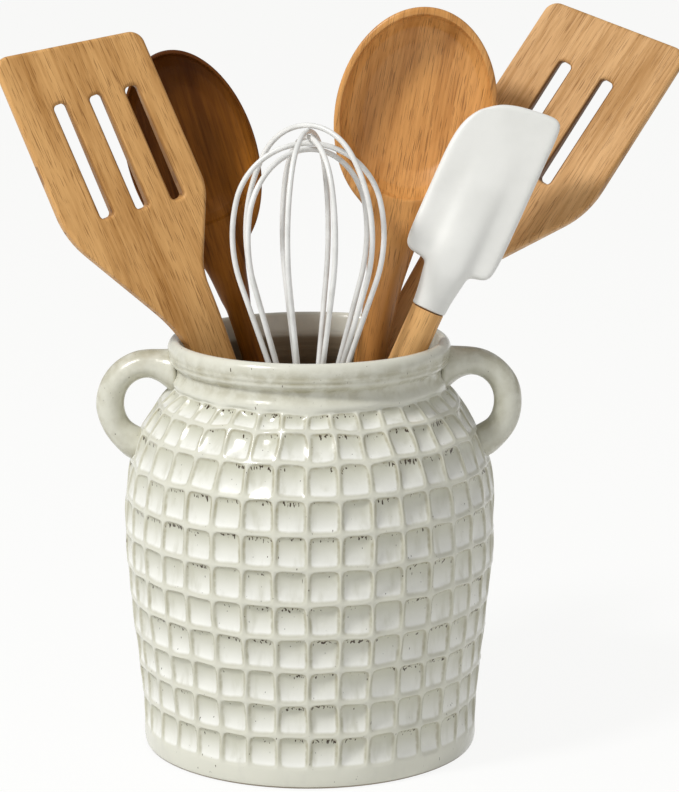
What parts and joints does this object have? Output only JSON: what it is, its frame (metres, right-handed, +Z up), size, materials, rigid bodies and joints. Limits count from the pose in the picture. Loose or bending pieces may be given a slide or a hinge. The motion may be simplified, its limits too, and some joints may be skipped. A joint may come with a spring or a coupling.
{
  "type": "utensil crock",
  "caption": "Glazed stoneware crock with a dimpled wall, rolled rim and two ear handles, holding loose wooden turners and spoons, a wire whisk and a silicone spatula.",
  "frame": {"origin": "centre of the crock's flat base, on the surface it stands on", "axes": "+Z up, -Y towards the viewer, +X to the viewer's right through the two ear handles"},
  "size_m": [0.2823, 0.1548, 0.3091],
  "materials": {
    "glaze": "gloss",
    "beech": "satin",
    "walnut": "satin",
    "whisk_wood": "satin",
    "whisk_plug_plastic": "matte",
    "coated_wire": "satin",
    "silicone": "matte"
  },
  "bodies": {
    "crock": {"crock_body": "glaze", "left_handle": "glaze", "right_handle": "glaze"},
    "three_slot_turner": {"three_slot_turner": "beech"},
    "two_slot_turner": {"two_slot_turner": "beech"},
    "dark_spoon": {"dark_spoon": "walnut"},
    "light_spoon": {"light_spoon": "beech"},
    "whisk": {"whisk_handle": "whisk_wood", "whisk_plug": "whisk_plug_plastic", "whisk_wire_1": "coated_wire", "whisk_wire_2": "coated_wire", "whisk_wire_3": "coated_wire", "whisk_wire_4": "coated_wire", "whisk_wire_5": "coated_wire"},
    "spatula": {"spatula_handle": "beech"},
    "spatula_head": {"spatula_head": "silicone"}
  },
  "joints": [
    {"name": "three_slot_turner_lift", "type": "slide", "parent": "crock", "child": "three_slot_turner", "axis": [-0.3172, -0.0092, 0.9483], "range_m": [0, 0.22]},
    {"name": "two_slot_turner_lift", "type": "slide", "parent": "crock", "child": "two_slot_turner", "axis": [0.4757, -0.008, 0.8796], "range_m": [0, 0.22]},
    {"name": "dark_spoon_lift", "type": "slide", "parent": "crock", "child": "dark_spoon", "axis": [-0.2805, 0.0003, 0.9599], "range_m": [0, 0.22]},
    {"name": "light_spoon_lift", "type": "slide", "parent": "crock", "child": "light_spoon", "axis": [0.1788, 0.0287, 0.9835], "range_m": [0, 0.22]},
    {"name": "whisk_lift", "type": "slide", "parent": "crock", "child": "whisk", "axis": [0, 0.0716, 0.9974], "range_m": [0, 0.22]},
    {"name": "spatula_lift", "type": "slide", "parent": "crock", "child": "spatula", "axis": [0.4059, 0.0563, 0.9122], "range_m": [0, 0.22]},
    {"name": "spatula_head_pull", "type": "slide", "parent": "spatula", "child": "spatula_head", "axis": [0.4059, 0.0563, 0.9122], "range_m": [0, 0.045]}
  ]
}
